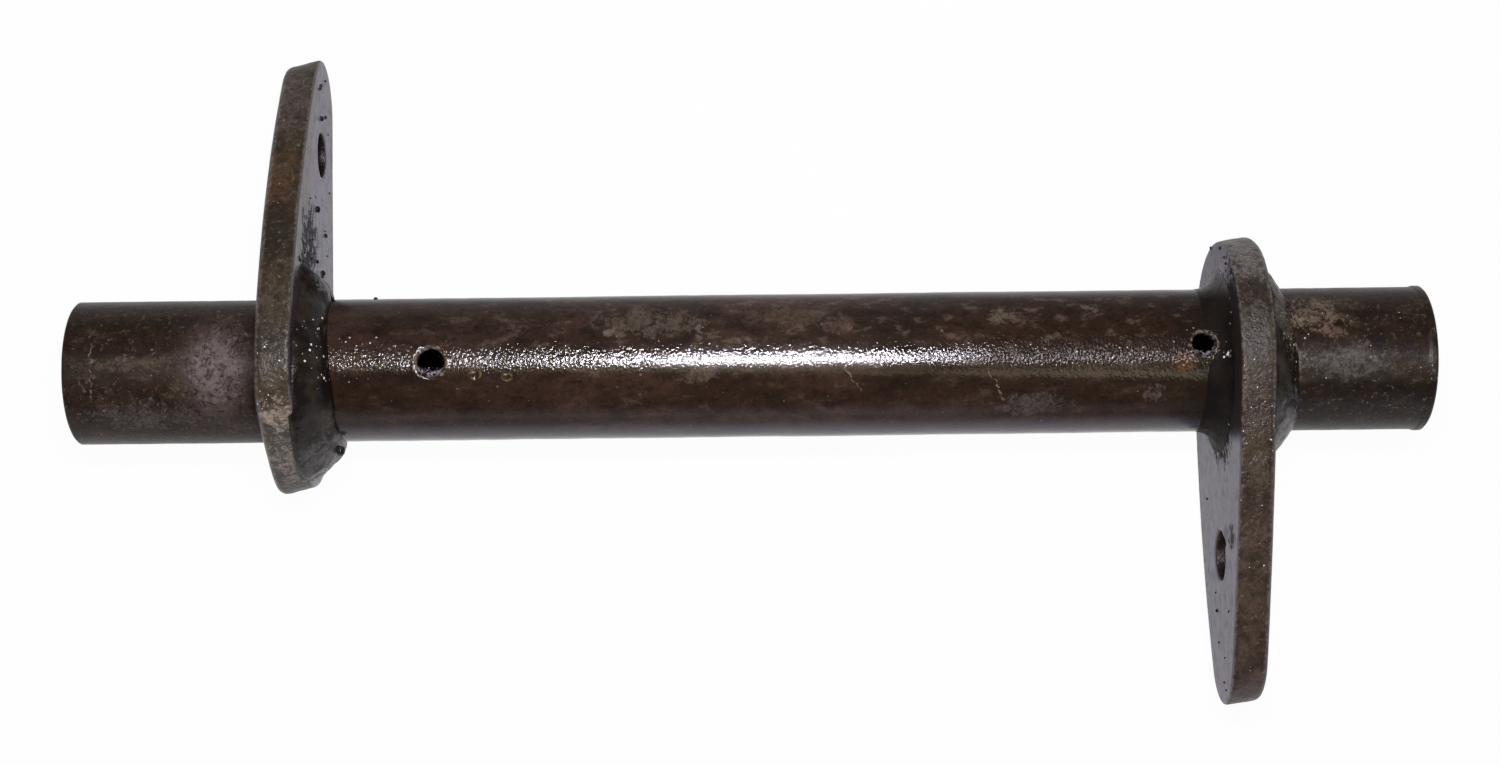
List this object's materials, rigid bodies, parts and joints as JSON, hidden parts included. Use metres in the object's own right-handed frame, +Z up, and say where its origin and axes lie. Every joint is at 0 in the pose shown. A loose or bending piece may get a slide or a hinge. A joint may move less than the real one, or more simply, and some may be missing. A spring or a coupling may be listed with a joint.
{
  "type": "clutch bellcrank",
  "caption": "Clutch bellcrank: a straight steel cross tube with thick teardrop levers welded on near its ends, set almost opposite each other, each with a hole for a clutch rod",
  "frame": {"origin": "on the tube's axis, midway along the tube", "axes": "+X runs along the tube to the end that carries the lever with the nearer rod hole, +Y is the side that the other lever points to, +Z is up, away from the table the part lies on"},
  "size_m": [0.2984, 0.1488, 0.0542],
  "materials": {
    "oily_tube_steel": "dark oil film over rust-brown steel",
    "oily_plate_steel": "oil film and dirt over rust-brown steel plate",
    "weld_steel": "sooty dark weld metal, oily"
  },
  "bodies": {
    "root": {"cross_tube": "oily_tube_steel", "left_lever": "oily_plate_steel", "right_lever": "oily_plate_steel", "left_inner_weld": "weld_steel", "right_inner_weld": "weld_steel", "right_outer_weld": "weld_steel"}
  },
  "joints": []
}
